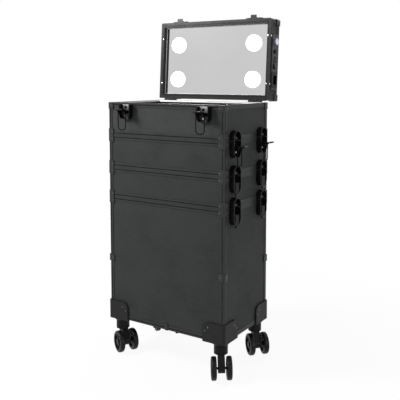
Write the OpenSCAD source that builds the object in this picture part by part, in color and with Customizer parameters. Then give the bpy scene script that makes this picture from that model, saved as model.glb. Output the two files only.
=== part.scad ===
// Rolling makeup train case: a trolley section, three stacked sections and a lid with a lighted mirror.
// Millimetres. The origin is on the floor under the middle of the case. +X is right, +Y is back, +Z is up.
// It is drawn with the lid open, the front latches and the upper right latches open, and the rest closed.

/* [Case] */
// Width over the edge profiles
case_w = 360; // [330:1:420]
// Depth over the edge profiles
case_d = 218; // [205:1:260]
// Height of the trolley section at the bottom
trolley_h = 330; // [280:1:380]
// Height of the third section
third_h = 79; // [76:1:110]
// Height of the second section
second_h = 85; // [78:1:110]
// Height of the top section
top_h = 87; // [82:1:120]
// Thickness of the wall panels
wall_t = 4.5; // [3:0.5:6]
// Thickness of the section floors
floor_t = 4; // [3:0.5:6]
// Gap between stacked sections
seam_gap = 0.4; // [0.2:0.1:0.8]

/* [Edge profiles] */
// Width of an edge profile on each face
profile_w = 11; // [9:0.5:14]
// How far the profiles stand proud of the panels
profile_t = 1.2; // [0.8:0.1:2]
// Radius of the outer vertical edges
edge_r = 3; // [2:0.5:4]
// Width of the groove along each profile
groove_w = 2.4; // [1.6:0.2:3]
// Depth of the groove along each profile
groove_d = 0.5; // [0.3:0.1:0.6]

/* [Corner pieces] */
// Width of a small corner cap on each face
cap_w = 16; // [14:1:22]
// Height of a small corner cap
cap_h = 17; // [14:1:22]
// Thickness of a small corner cap
cap_t = 1.6; // [1:0.1:2]
// Radius of a rivet's head
rivet_r = 2; // [1.8:0.1:2.8]
// Height of a rivet's head
rivet_h = 0.9; // [0.6:0.1:1.2]
// Width of a caster bracket on each face
bracket_w = 64; // [56:1:72]
// Height of a caster bracket up each face
bracket_h = 47; // [40:1:56]
// Thickness of a caster bracket
bracket_t = 3.5; // [2.5:0.5:5]
// Radius of a caster bracket's outer upper corner
bracket_r = 15; // [8:1:20]

/* [Casters] */
// Diameter of a wheel
wheel_d = 57; // [50:1:64]
// Width of a wheel
wheel_w = 13; // [11:0.5:15]
// From the middle of the caster to the middle of each wheel
wheel_off = 19; // [17.5:0.5:22]
// From the swivel axis to the axle
trail = 22; // [16:1:26]
// From the outer faces of the case to the swivel axes
stem_inset = 22.5; // [22:0.5:30]
// Radius of the swivel neck
neck_r = 17.5; // [15:0.5:19]
// Height of the swivel neck
neck_h = 20.6; // [17:0.1:26]
// Height of the tapered boss under a bracket
boss_h = 9; // [7:1:14]
// Running gap between boss and neck
neck_gap = 0.4; // [0.3:0.1:0.6]
// Radius of the swivel pin
swivel_pin_r = 5; // [4:0.5:6]
// Width of the block between the wheels
fork_w = 17; // [14:0.5:19]
// Radius of the axle
axle_r = 3; // [2.5:0.5:4]
// Gap between the neck and the tops of the wheels
wheel_gap = 1.5; // [1:0.5:3]

/* [Latches] */
// Diameter of the loop wire
wire_d = 2.4; // [2:0.1:2.8]
// Radius of a latch's pivot pin
pin_r = 1.5; // [1.2:0.1:1.8]
// Radial clearance of a pin or wire end in its hole
run_fit = 0.05; // [0.03:0.01:0.1]
// Thickness of a latch's base plate
plate_t = 2; // [1.5:0.1:2.5]
// Thickness of the wall round a latch's dish
dish_t = 1.8; // [1.4:0.1:2]
// Thickness of a lever's plate
lever_t = 1.8; // [1.4:0.1:2.2]
// Thickness of a lever's cheeks
cheek_t = 1.4; // [1:0.1:1.6]
// Thickness of a base's ears
ear_t = 1.8; // [1.4:0.1:2]
// Side gap between ears, cheeks and loop
side_gap = 0.35; // [0.3:0.05:0.5]
// Space between a loop and the keeper under it
keeper_gap = 0.6; // [0.6:0.1:1]
// From the middle of the case's depth to the side latches
side_column = 67; // [60:1:75]
// From the left edge of the case to the left front latch
front_left_in = 64; // [50:1:90]
// From the right edge of the case to the right front latch
front_right_in = 54; // [50:1:90]
// Width of a front latch
front_w = 35; // [34:0.5:38]
// Height of a side latch's keeper half above its seam
keeper_h = 25; // [24:0.5:28]
// Height of a side latch's base half below its seam
base_h = 44; // [43:0.5:46]
// Height of a front latch's base
front_base_h = 42; // [41:0.5:46]
// Width of a side latch
side_w = 34; // [33:0.5:36]
// Height of the wall round a side latch's dish
side_dish_h = 13; // [12:0.5:14]
// Height of the wall round a front latch's dish
front_dish_h = 14; // [13:0.5:15]
// Angle that a side lever opens to
side_open = 90; // [80:1:95]
// Angle that a front lever opens to
front_open = 95; // [85:1:100]

/* [Lid] */
// Height of the lid
lid_h = 49.6; // [44:0.2:56]
// Angle that the lid opens to
lid_open = 93.8; // [90:0.1:96]
// Gap between the lid and the rim
lid_gap = 0.4; // [0.3:0.1:0.8]
// Width of the mirror's frame at its left and right, from the lid's outer faces
bezel_x = 10; // [8.5:0.5:13]
// Width of the mirror's frame along its two long sides
bezel_y = 13; // [11:0.5:16]
// Depth of the frame round the mirror
bezel_t = 13; // [10:0.5:13.5]
// Thickness of the mirror
mirror_t = 3; // [3:0.5:4]
// Thickness of the board behind the mirror
board_t = 2; // [1.5:0.5:3]
// Radius of a lamp
lamp_r = 22.5; // [20:0.5:30]
// How far a lamp stands out of the mirror
lamp_out = 9; // [7:0.5:9.5]
// From the left and right faces of the lid to the lamps
lamp_x_in = 56; // [50:1:70]
// From the hinge side of the lid to the lower lamps
lamp_low = 55.5; // [45:0.5:65]
// From the lower lamps to the upper lamps
lamp_step = 98.5; // [85:0.5:110]
// Width of a hinge
hinge_w = 40; // [30:1:50]
// From a corner cap to the hinge beside it
hinge_gap = 4; // [2:1:30]
// Radius of a hinge knuckle
knuckle_r = 3.4; // [3:0.1:3.6]
// From the back face to the hinge axis
hinge_out = 4; // [3.8:0.1:5]
// From the rim to the hinge axis
hinge_up = 1.5; // [1:0.1:2]

/* [Light controls] */
// Length of the control box
control_l = 140; // [134:1:150]
// From the hinge side of the lid to the control box
control_in = 32; // [30:1:36]
// From the front end of the control box to the dimmer knob
knob_in = 14.4; // [14:0.2:16]
// From the dimmer knob to the push button
button_step = 26.6; // [24:0.2:28]
// From the push button to the rocker switch
rocker_step = 30.5; // [28:0.5:32]
// From the rear end of the control box to the power socket
socket_in = 23; // [22:0.5:25]
// Radius of the dimmer knob
knob_r = 9; // [7:0.5:10]
// Height of the dimmer knob
knob_h = 5; // [4:0.5:8]
// Radius of the push button
button_r = 5.3; // [4:0.1:6]
// Travel of the push button
button_travel = 1.5; // [1:0.1:2]
// Length of the rocker switch
rocker_l = 31; // [24:1:34]
// Width of the rocker switch
rocker_w = 11; // [9:0.5:13]
// Angle that the rocker turns through
rocker_turn = 12; // [8:1:16]
// Width of the power socket's opening
socket_w = 24; // [22:0.5:27]
// Height of the power socket's opening
socket_h = 17; // [15:0.5:20]
// Depth of the power socket
socket_deep = 16; // [12:0.5:18]

/* [Inside] */
// Height of the lift-out tray
tray_h = 38; // [30:1:50]
// Thickness of the tray's walls
tray_t = 2; // [1.5:0.1:3]
// How far the tray's edge lies under the rim
tray_down = 4.5; // [2:0.5:6]
// Gap between the tray and the walls round it
tray_gap = 1.6; // [1:0.1:3]
// Width of the ledges under the tray
ledge_w = 6; // [5:0.5:8]
// Thickness of the dividers in the second and third section
divider_t = 3; // [2:0.5:4]

/* [Hidden] */
$fn = 64;
joint_gap = 0.1; // between pieces of one wall box
trim_gap = 0.05; // between trim and what it covers
cut = 1; // how far a cut runs past a face

// Levels, from the floor up
bracket_under = 3;
ground = wheel_d + wheel_gap + neck_h + neck_gap + boss_h + bracket_under;
z_trolley = ground;
z_third = z_trolley + trolley_h;
z_second = z_third + third_h;
z_top = z_second + second_h;
z_rim = z_top + top_h;

// Faces of the wall panels
panel_x = case_w / 2 - profile_t;
panel_y = case_d / 2 - profile_t;
inner_x = panel_x - wall_t;
inner_y = panel_y - wall_t;
rim_t = 1; // profile over a panel's edge
divider_down = 8; // from a section's rim to its dividers
swivel_deep = 14; // swivel pin inside the neck
fork_r = 12; // block round the axle
glide_h = 4; // glides under the case's edges
glide_r = 4;

// Latch sizes: each pivot is [out from the face, up from the seam]
side_pivot = [7, -19];
side_crank = [-1.5, -11];
side_loop = 41;
side_leg = 10;
side_lever = 28;
front_pivot = [11, -24];
front_crank = [-2.5, -11];
front_loop = 44;
front_leg = 12.25;
front_lever = 24;
lever_out = 3.2; // from a pivot to its lever's plate
hub_r = 4; // a cheek round its pivot
eye_r = 2.6; // a cheek round its loop's end
lever_up = 1; // a lever's plate above its pivot
loop_bend = 6; // bends beside a side loop's bar
front_bend = 9; // bends beside a front loop's bar
ear_r = 2.9;
ear_stalk = 4;
curl_r = 2.2;
stud_r = 1.8; // the studs that the levers close against
front_drop = 4; // from the rim to a front latch's base
catch_w = 51;
catch_h = 14;
hook_w = 17;
hook_out = 10.5;
hook_top = front_pivot[1] + front_crank[1] + front_loop - wire_d / 2 - keeper_gap;

// Lid levels, closed: from the rim up
z_lid = z_rim + lid_gap;
mirror_z = z_lid + bezel_t + 0.1;
board_z = mirror_z + mirror_t + 0.1;
back_z = board_z + board_t;
lamp_edge = 5; // rounding of a lamp's edge
leaf_t = 1.6;
leaf_down = 26; // a hinge's leaf on the case, below the rim
leaf_up = 24.5; // a hinge's leaf on the lid, above the hinge's axis
leaf_rivets = [5, 13.5]; // from a leaf's far end
driver_w = 80; // the lamp driver behind the mirror
driver_d = 36;
driver_h = 18;

// The control box behind the lid's right face: levels, ends and depth
box_low = back_z + 1;
box_high = z_lid + lid_h - 7.5;
control_z = (box_low + box_high) / 2;
box_rear = case_d / 2 - control_in;
box_front = box_rear - control_l;
box_deep = 27;
panel_t = 1.4;
plate_under = 9; // the plate's edges beyond the box
plate_over = 2;
socket_plate = 21; // half the length of the raised plate round the socket
socket_plate_out = 0.8;
shaft_r = 2;
// Each control: [y, z]
knob_at = [box_front + knob_in, control_z - 3];
button_at = [knob_at[0] + button_step, control_z - 3];
rocker_at = [button_at[0] + rocker_step, control_z - 3];
socket_at = [box_rear - socket_in, control_z - 1];

RIGHT = 1;
LEFT = -1;
SEAMS = [["upper", z_top], ["middle", z_second], ["lower", z_third]];
COLUMNS = [["front", -side_column], ["rear", side_column]];
SIDES = [["right", RIGHT], ["left", LEFT]];
FRONTS = [["front_left", -case_w / 2 + front_left_in], ["front_right", case_w / 2 - front_right_in]];
// Each side latch: [name, side, y, z of its seam, how far its lever is turned open]
SIDE_LATCHES = [
    for (s = SIDES) for (r = SEAMS) for (c = COLUMNS)
        [str(s[0], "_", r[0], "_", c[0]), s[1], c[1], r[1],
            s[1] == RIGHT && r[0] == "upper" ? side_open : 0]
];
// Each caster: [name, side in x, side in y, angle of its axle]
CASTERS = [
    ["front_left", -1, -1, 62],
    ["front_right", 1, -1, 36],
    ["rear_left", -1, 1, 52],
    ["rear_right", 1, 1, 47.5]
];
LATCH_NAMES = concat([for (f = FRONTS) f[0]], [for (l = SIDE_LATCHES) l[0]]);

// ---- Helpers ----

// A plain box from its lowest and highest corners
module span(low, high) {
    translate(low) cube(high - low);
}

// An upright prism with the case's outline, grown by some amount
module case_prism(grow, z0, z1) {
    x = case_w / 2 + grow;
    y = case_d / 2 + grow;
    r = edge_r + grow;
    translate([0, 0, z0])
        linear_extrude(z1 - z0)
            union() {
                square([2 * x - 2 * r, 2 * y], center = true);
                square([2 * x, 2 * y - 2 * r], center = true);
                for (sx = [-1, 1]) for (sy = [-1, 1])
                    translate([sx * (x - r), sy * (y - r)]) circle(r);
            }
}

// A profile in the plane across a latch, given as [out, up], drawn w wide and centred in x
module across(w) {
    translate([-w / 2, 0, 0]) rotate([90, 0, 90]) linear_extrude(w) mirror([1, 0]) children();
}

// A rod along x, centred at [out, up]
module rod(at, r, w) {
    translate([-w / 2, -at[0], at[1]]) rotate([0, 90, 0]) cylinder(h = w, r = r);
}

// A rivet head on a face that looks along -y
module rivet() {
    rotate([90, 0, 0]) cylinder(h = rivet_h, r1 = rivet_r, r2 = rivet_r * 0.6, $fn = 24);
}

// ---- Sections ----

// The four walls and the floor of a section between two levels
module wall_box(z0, z1) {
    low = z0 + seam_gap / 2 + rim_t;
    high = z1 - seam_gap / 2 - rim_t;
    for (s = [-1, 1]) {
        span([-panel_x, s > 0 ? inner_y : -panel_y, low], [panel_x, s > 0 ? panel_y : -inner_y, high]);
        span([s > 0 ? inner_x : -panel_x, -inner_y + joint_gap, low],
            [s > 0 ? panel_x : -inner_x, inner_y - joint_gap, high]);
    }
    span([-inner_x + joint_gap, -inner_y + joint_gap, low],
        [inner_x - joint_gap, inner_y - joint_gap, low + floor_t]);
}

// Grooves along the edge profiles of a box between two levels
module profile_grooves(low, high) {
    at = profile_w / 2;
    for (z = [low + at, high - at])
        difference() {
            case_prism(cut, z - groove_w / 2, z + groove_w / 2);
            case_prism(-groove_d, z - groove_w, z + groove_w);
        }
    for (sx = [-1, 1]) for (sy = [-1, 1]) {
        x = sx * (case_w / 2 - at);
        y = sy * (case_d / 2 - at);
        span([x - groove_w / 2, y + sy * (at - groove_d) - (sy < 0 ? cut : 0), low + profile_w],
            [x + groove_w / 2, y + sy * (at - groove_d) + (sy > 0 ? cut : 0), high - profile_w]);
        span([x + sx * (at - groove_d) - (sx < 0 ? cut : 0), y - groove_w / 2, low + profile_w],
            [x + sx * (at - groove_d) + (sx > 0 ? cut : 0), y + groove_w / 2, high - profile_w]);
    }
}

// The edge profiles round a box of panels between two levels
module profile_frame(low, high) {
    difference() {
        case_prism(0, low, high);
        span([-panel_x, -panel_y, low + rim_t], [panel_x, panel_y, high - rim_t]);
        span([-inner_x, -inner_y, low - cut], [inner_x, inner_y, high + cut]);
        span([-case_w, -case_d / 2 + profile_w, low + profile_w],
            [case_w, case_d / 2 - profile_w, high - profile_w]);
        span([-case_w / 2 + profile_w, -case_d, low + profile_w],
            [case_w / 2 - profile_w, case_d, high - profile_w]);
        profile_grooves(low, high);
    }
}

module edge_profiles() {
    color([0.13, 0.13, 0.13])
        for (z = [[z_trolley, z_third], [z_third, z_second], [z_second, z_top], [z_top, z_rim]])
            profile_frame(z[0] + seam_gap / 2, z[1] - seam_gap / 2);
}

// Four small caps round the corners between two levels
module cap_ring(z0, z1) {
    difference() {
        case_prism(cap_t, z0, z1);
        case_prism(trim_gap, z0 - cut, z1 + cut);
        span([-case_w / 2 + cap_w, -case_d, z0 - cut], [case_w / 2 - cap_w, case_d, z1 + cut]);
        span([-case_w, -case_d / 2 + cap_w, z0 - cut], [case_w, case_d / 2 - cap_w, z1 + cut]);
    }
}

// Lowest level of each small cap on the case
CAP_LEVELS = [
    for (z = [z_third, z_second, z_top]) z + seam_gap / 2,
    for (z = [z_third, z_second, z_top, z_rim]) z - seam_gap / 2 - cap_h
];

module corner_caps() {
    color([0.18, 0.18, 0.18]) for (z = CAP_LEVELS) cap_ring(z, z + cap_h);
}

// Two rivets at each corner, one on each face, at a distance in from the corner
module corner_rivets(inset, z, proud) {
    for (sx = [-1, 1]) for (sy = [-1, 1]) {
        translate([sx * (case_w / 2 - inset), sy * (case_d / 2 + proud), z])
            rotate([0, 0, sy > 0 ? 180 : 0]) rivet();
        translate([sx * (case_w / 2 + proud), sy * (case_d / 2 - inset), z])
            rotate([0, 0, sx * 90]) rivet();
    }
}

// The steel stud that a lever closes against, from the base to [out, up]
module stud(at) {
    translate([0, -plate_t, at[1]])
        rotate([90, 0, 0]) {
            cylinder(h = at[0] - plate_t - 0.7, r = stud_r);
            cylinder(h = at[0] - plate_t, r = stud_r - 0.6);
        }
}

module rivets() {
    color([0.6, 0.6, 0.6]) {
        for (z = CAP_LEVELS) corner_rivets(cap_w * 0.78, z + cap_h / 2, cap_t);
        corner_rivets(bracket_w - bracket_t - 16.5, z_trolley + bracket_h * 0.72, bracket_t);
        corner_rivets(bracket_w - bracket_t - 6.5, z_trolley + bracket_h * 0.52, bracket_t);
        for (f = FRONTS) on_front(f[1]) stud([front_pivot[0] - 1, front_pivot[1] - 9.5]);
        for (l = SIDE_LATCHES) on_side(l[1], l[2], l[3]) stud([side_pivot[0] + 1.5, side_pivot[1] - 9]);
    }
}

module trolley_panels() {
    color([0.27, 0.27, 0.27]) wall_box(z_trolley, z_third);
}

module third_section_panels() {
    color([0.27, 0.27, 0.27]) wall_box(z_third, z_second);
}

module second_section_panels() {
    color([0.27, 0.27, 0.27]) wall_box(z_second, z_top);
}

// The top section also has a ledge on each side wall that the tray sits on
module top_section_panels() {
    color([0.27, 0.27, 0.27]) {
        wall_box(z_top, z_rim);
        for (s = [-1, 1])
            span([s > 0 ? inner_x - ledge_w : -inner_x + joint_gap, -tray_y, tray_z - ledge_w],
                [s > 0 ? inner_x - joint_gap : -inner_x + ledge_w, tray_y, tray_z]);
    }
}

// ---- Tray and dividers ----

tray_x = inner_x - tray_gap;
tray_y = inner_y - tray_gap;
tray_z = z_rim - tray_down - tray_h;

module tray() {
    pocket_x = (2 * tray_x - 4 * tray_t) / 3;
    pocket_y = (2 * tray_y - 3 * tray_t) / 2;
    color([0.9, 0.9, 0.9])
        difference() {
            span([-tray_x, -tray_y, tray_z], [tray_x, tray_y, tray_z + tray_h]);
            for (i = [0 : 2]) for (j = [0 : 1])
                translate([
                    -tray_x + tray_t + i * (pocket_x + tray_t),
                    -tray_y + tray_t + j * (pocket_y + tray_t),
                    tray_z + tray_t
                ])
                    cube([pocket_x, pocket_y, tray_h]);
        }
}

module section_dividers() {
    color([0.2, 0.2, 0.2])
        for (z = [[z_third, third_h], [z_second, second_h]])
            for (x = [-1, 1])
                translate([x * inner_x / 3, 0, z[0]])
                    span([-divider_t / 2, -inner_y + joint_gap, seam_gap / 2 + rim_t + floor_t],
                        [divider_t / 2, inner_y - joint_gap, z[1] - divider_down]);
}

// ---- Casters ----

// The outline of a bracket on one face, with its rounded outer upper corner
module bracket_face() {
    h = bracket_h + bracket_under;
    translate([0, -bracket_under])
        union() {
            square([bracket_w, h - bracket_r]);
            square([bracket_w - bracket_r, h]);
            translate([bracket_w - bracket_r, h - bracket_r]) circle(bracket_r);
        }
}

// One bracket, at the corner where x and y are greatest
module bracket() {
    x = case_w / 2;
    y = case_d / 2;
    stem_z = z_trolley - bracket_under - boss_h;
    intersection() {
        difference() {
            case_prism(bracket_t, z_trolley - bracket_under, z_trolley + bracket_h);
            case_prism(trim_gap, z_trolley, z_trolley + bracket_h + cut);
        }
        union() {
            translate([x + bracket_t, y + bracket_t, z_trolley])
                rotate([90, 0, 0]) linear_extrude(bracket_t + edge_r) mirror([1, 0]) bracket_face();
            translate([x - edge_r, y + bracket_t, z_trolley])
                rotate([90, 0, 90]) linear_extrude(bracket_t + edge_r) mirror([1, 0]) bracket_face();
            span([x + bracket_t - bracket_w, y + bracket_t - bracket_w, z_trolley - bracket_under],
                [x + bracket_t, y + bracket_t, z_trolley]);
        }
    }
    translate([x - stem_inset, y - stem_inset, stem_z]) {
        cylinder(h = boss_h + 0.5, r1 = neck_r, r2 = stem_inset + bracket_t - 0.5);
        translate([0, 0, -neck_gap - swivel_deep])
            cylinder(h = neck_gap + swivel_deep + 1, r = swivel_pin_r);
    }
}

// The brackets, and the small glides under the case's edges
module corner_brackets() {
    under = z_trolley + seam_gap / 2;
    color([0.17, 0.17, 0.17])
        for (sx = [0, 1]) for (sy = [0, 1])
            mirror([sx, 0, 0]) mirror([0, sy, 0]) {
                bracket();
                translate([case_w * 0.1, case_d / 2 - glide_r - 2, under - glide_h])
                    cylinder(h = glide_h - trim_gap, r = glide_r);
                translate([case_w / 2 - glide_r - 2, case_d * 0.18, under - glide_h])
                    cylinder(h = glide_h - trim_gap, r = glide_r);
            }
}

// Puts a caster's own frame at its stem, with its axle along x and its trail along -y
module at_caster(c) {
    translate([c[1] * (case_w / 2 - stem_inset), c[2] * (case_d / 2 - stem_inset), 0])
        rotate([0, 0, c[3]]) children();
}

module caster(c) {
    base = wheel_d + wheel_gap;
    axle_z = wheel_d / 2;
    color([0.12, 0.12, 0.12])
        at_caster(c)
            difference() {
                union() {
                    translate([0, 0, base]) cylinder(h = neck_h, r = neck_r);
                    across(fork_w)
                        union() {
                            polygon([
                                [-neck_r * 0.7, base + 1], [neck_r * 0.85, base + 1],
                                [trail + fork_r * 0.92, axle_z + fork_r * 0.35],
                                [trail - fork_r * 0.5, axle_z - fork_r * 0.85]
                            ]);
                            translate([trail, axle_z]) circle(fork_r);
                        }
                }
                translate([0, 0, base + neck_h - swivel_deep - 1])
                    cylinder(h = swivel_deep + 1 + cut, r = swivel_pin_r + run_fit);
                rod([trail, axle_z], axle_r + run_fit, fork_w + 2 * cut);
            }
}

// One wheel about the z axis, centred on it, with openings between its spokes
module wheel() {
    r = wheel_d / 2;
    round_r = wheel_w * 0.27;
    hub_w = wheel_w - 5;
    bore = axle_r + run_fit;
    difference() {
        rotate_extrude()
            union() {
                translate([bore, -wheel_w / 2]) square([4, wheel_w]);
                translate([bore, -hub_w / 2]) square([r - bore - 4, hub_w]);
                translate([r - 8, -wheel_w / 2]) square([8 - round_r, wheel_w]);
                translate([r - 8, -wheel_w / 2 + round_r]) square([8, wheel_w - 2 * round_r]);
                for (s = [-1, 1])
                    translate([r - round_r, s * (wheel_w / 2 - round_r)]) circle(round_r);
            }
        for (i = [0 : 5])
            rotate([0, 0, i * 60]) translate([(r + axle_r - 4) / 2 + 0.5, 0, -wheel_w])
                cylinder(h = 2 * wheel_w, r = (r - axle_r - 12.5) / 2 - 1.3, $fn = 32);
    }
}

// Both wheels of a caster and the axle they turn on
module wheels(c) {
    color([0.1, 0.1, 0.1])
        at_caster(c)
            translate([0, -trail, wheel_d / 2])
                rotate([0, 90, 0]) {
                    for (s = [-1, 1]) translate([0, 0, s * wheel_off]) wheel();
                    cylinder(h = 2 * wheel_off + wheel_w, r = axle_r, center = true);
                }
}

// ---- Latches ----

// Puts a latch's own frame on the front or on a side of the case
module on_front(x) {
    translate([x, -case_d / 2, z_rim]) children();
}

module on_side(side, y, z) {
    translate([side * case_w / 2, y, z]) rotate([0, 0, side * 90]) children();
}

// Turns something about a pivot at [out, up]; a positive angle lifts what hangs below it outwards
module turned(pivot, angle) {
    translate([0, -pivot[0], pivot[1]]) rotate([-angle, 0, 0])
        translate([0, pivot[0], -pivot[1]]) children();
}

// An outline with a flat end and a round end
module half_oval(w, flat, round) {
    s = sign(round - flat);
    middle = round - s * w / 2;
    union() {
        translate([-w / 2, min(flat, middle)]) square([w, abs(middle - flat)]);
        intersection() {
            translate([0, middle]) circle(w / 2);
            translate([-w / 2, s > 0 ? middle : round]) square([w, w / 2]);
        }
    }
}

// Raises an outline out of the face between two distances from it
module proud(u0, u1) {
    translate([0, -u0, 0]) rotate([90, 0, 0]) linear_extrude(u1 - u0) children();
}

// A plate with a wall round it that is open at the flat end, filled out behind to the panel
module dish(w, flat, round, h) {
    s = sign(round - flat);
    edge = profile_w + 0.2;
    difference() {
        proud(trim_gap, h) half_oval(w, flat, round);
        proud(plate_t, h + cut) half_oval(w - 2 * dish_t, flat - s * w, round - s * dish_t);
    }
    proud(-profile_t + trim_gap, plate_t / 2)
        intersection() {
            half_oval(w, flat, round);
            translate([-w / 2, s > 0 ? edge : round]) square([w, abs(round) - edge]);
        }
}

// Half widths: the loop's legs are outermost, then a lever's cheeks, then the ears
function cheek_half(leg) = leg - wire_d / 2 - side_gap;
function ear_half(leg) = cheek_half(leg) - cheek_t - side_gap * 0.6;

// The fixed half of a latch: a dish with two ears and the pin that the lever turns on
module latch_base(w, flat, round, h, pivot, leg) {
    half = cheek_half(leg);
    outer = ear_half(leg);
    difference() {
        dish(w, flat, round, h);
        // room for the lever's tip
        span([-half - 0.8, -h - cut, round - w * 0.1], [half + 0.8, -plate_t - 1.4, round + w * 0.35]);
    }
    for (s = [-1, 1])
        translate([s * (outer - ear_t / 2), 0, 0])
            across(ear_t)
                union() {
                    translate(pivot) circle(ear_r);
                    translate([plate_t - 0.2, pivot[1] - ear_stalk / 2])
                        square([pivot[0] - plate_t + 0.2, ear_stalk]);
                }
    rod(pivot, pin_r, 2 * half);
}

// The keeper half of a side latch: a dish with the ledge that the loop pulls on
module side_keeper() {
    top = side_pivot[1] + side_crank[1] + side_loop - wire_d / 2 - keeper_gap;
    out = side_pivot[0] + side_crank[0];
    dish(side_w, seam_gap, keeper_h, side_dish_h);
    across(2 * (side_leg - loop_bend) + 2)
        polygon([
            [plate_t - 0.2, top - 6], [out + 3, top - 5], [out + 3, top - 1.2],
            [out + 2, top], [plate_t - 0.2, top]
        ]);
    translate([0, -plate_t + 0.1, top + 8]) rivet();
}

module latch_plates() {
    color([0.1, 0.1, 0.1]) {
        for (f = FRONTS)
            on_front(f[1])
                latch_base(front_w, -front_drop, -front_drop - front_base_h, front_dish_h,
                    front_pivot, front_leg);
        for (l = SIDE_LATCHES)
            on_side(l[1], l[2], l[3]) {
                latch_base(side_w, -seam_gap, -base_h, side_dish_h, side_pivot, side_leg);
                side_keeper();
            }
    }
}

// A closed lever: a plate with a curled tip, and two cheeks that hold the pin and the loop
module lever(pivot, crank, leg, len) {
    half = cheek_half(leg);
    eye = pivot + crank;
    out = pivot[0] + lever_out;
    difference() {
        union() {
            across(2 * half)
                union() {
                    translate([out, pivot[1] - len]) square([lever_t, len + lever_up]);
                    translate([out + curl_r, pivot[1] - len]) circle(curl_r);
                }
            for (s = [-1, 1])
                translate([s * (half - cheek_t / 2), 0, 0])
                    across(cheek_t)
                        union() {
                            translate(pivot) circle(hub_r);
                            translate(eye) circle(eye_r);
                            polygon([
                                [out + 0.5, pivot[1] + hub_r], pivot + [0, hub_r],
                                pivot + [-hub_r, 0], eye + [-eye_r, 0],
                                eye + [0, -eye_r], [out + 0.5, pivot[1] + 1.8 * crank[1]]
                            ]);
                        }
        }
        rod(pivot, pin_r + run_fit, 2 * leg);
        rod(eye, wire_d / 2 + run_fit, 2 * leg);
    }
}

// A closed loop: two legs, the bar over the keeper, and two ends turned into the cheeks
module loop(eye, leg, len, bend) {
    r = wire_d / 2;
    end = ear_half(leg);
    for (s = [-1, 1]) {
        translate([s * leg, -eye[0], eye[1]]) {
            cylinder(h = len - bend, r = r);
            sphere(r);
        }
        translate([0, -eye[0], eye[1] + len - bend])
            rotate([90, 0, 0])
                mirror([s > 0 ? 0 : 1, 0, 0])
                    translate([leg - bend, 0, 0])
                        rotate_extrude(angle = 90) translate([bend, 0]) circle(r);
        translate([s * (leg + end) / 2, 0, 0]) rod(eye, r, leg - end);
    }
    rod([eye[0], eye[1] + len], r, 2 * (leg - bend) + 0.02);
}

module lever_at(name) {
    color([0.09, 0.09, 0.09]) {
        for (f = FRONTS)
            if (f[0] == name)
                on_front(f[1])
                    turned(front_pivot, front_open)
                        lever(front_pivot, front_crank, front_leg, front_lever);
        for (l = SIDE_LATCHES)
            if (l[0] == name)
                on_side(l[1], l[2], l[3])
                    turned(side_pivot, l[4])
                        lever(side_pivot, side_crank, side_leg, side_lever);
    }
}

// An open lever's loop hangs straight down from it
module loop_at(name) {
    color([0.12, 0.12, 0.12]) {
        for (f = FRONTS)
            if (f[0] == name)
                on_front(f[1])
                    turned(front_pivot, front_open)
                        turned(front_pivot + front_crank, -180 - front_open)
                            loop(front_pivot + front_crank, front_leg, front_loop, front_bend);
        for (l = SIDE_LATCHES)
            if (l[0] == name)
                on_side(l[1], l[2], l[3])
                    turned(side_pivot, l[4])
                        turned(side_pivot + side_crank, l[4] == 0 ? 0 : -180 - l[4])
                            loop(side_pivot + side_crank, side_leg, side_loop, loop_bend);
    }
}

// ---- Hinges ----

// Puts the hinges' own frame on their axis: x along it, y outwards, z up
module on_hinges() {
    for (s = [-1, 1])
        translate([s * (case_w / 2 - cap_w - hinge_gap - hinge_w / 2), 0, 0])
            translate([0, case_d / 2 + hinge_out, z_rim + hinge_up]) children();
}

module knuckle(x0, x1) {
    translate([x0, 0, 0]) rotate([0, 90, 0]) cylinder(h = x1 - x0, r = knuckle_r);
}

// The leaves on the case, with their outer knuckles and the pins
module case_hinge_leaves() {
    w = hinge_w / 2;
    mid = hinge_w * 0.2;
    near = -hinge_out + trim_gap;
    far = -hinge_out + leaf_t;
    color([0.14, 0.14, 0.14])
        on_hinges() {
            span([-w, near, -leaf_down - hinge_up], [w, far, -knuckle_r - 0.4]);
            for (s = [-1, 1]) {
                span([s > 0 ? mid : -w, near, -knuckle_r - 1], [s > 0 ? w : -mid, far, 0]);
                knuckle(s > 0 ? mid : -w, s > 0 ? w : -mid);
                for (z = leaf_rivets)
                    translate([s * w * 0.6, far - 0.1, z - leaf_down - hinge_up])
                        rotate([0, 0, 180]) rivet();
            }
            rotate([0, 90, 0]) cylinder(h = hinge_w, r = pin_r, center = true);
        }
}

// The leaves on the lid, with the middle knuckle, where they are when the lid is closed
module lid_hinge_leaves() {
    w = hinge_w / 2;
    mid = hinge_w * 0.2 - 0.2;
    near = -hinge_out + trim_gap;
    far = -hinge_out + leaf_t;
    color([0.14, 0.14, 0.14])
        opened()
            on_hinges()
                difference() {
                    union() {
                        span([-w, near, knuckle_r + 0.4], [w, far, leaf_up]);
                        span([-mid, near, 0.5], [mid, far, knuckle_r + 1]);
                        knuckle(-mid, mid);
                        for (s = [-1, 1]) for (z = leaf_rivets)
                            translate([s * w * 0.6, far - 0.1, leaf_up - z]) rotate([0, 0, 180]) rivet();
                    }
                    rotate([0, 90, 0]) cylinder(h = hinge_w, r = pin_r + run_fit, center = true);
                }
}

// ---- Lid, placed closed and then turned open ----

module opened() {
    translate([0, case_d / 2 + hinge_out, z_rim + hinge_up]) rotate([-lid_open, 0, 0])
        translate([0, -case_d / 2 - hinge_out, -z_rim - hinge_up]) children();
}

// The room that the control box takes in the lid's right wall
module control_room(grow) {
    span([case_w / 2 - box_deep - grow, box_front - grow, box_low - grow],
        [case_w / 2 + cut, box_rear + grow, box_high + grow]);
}

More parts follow.
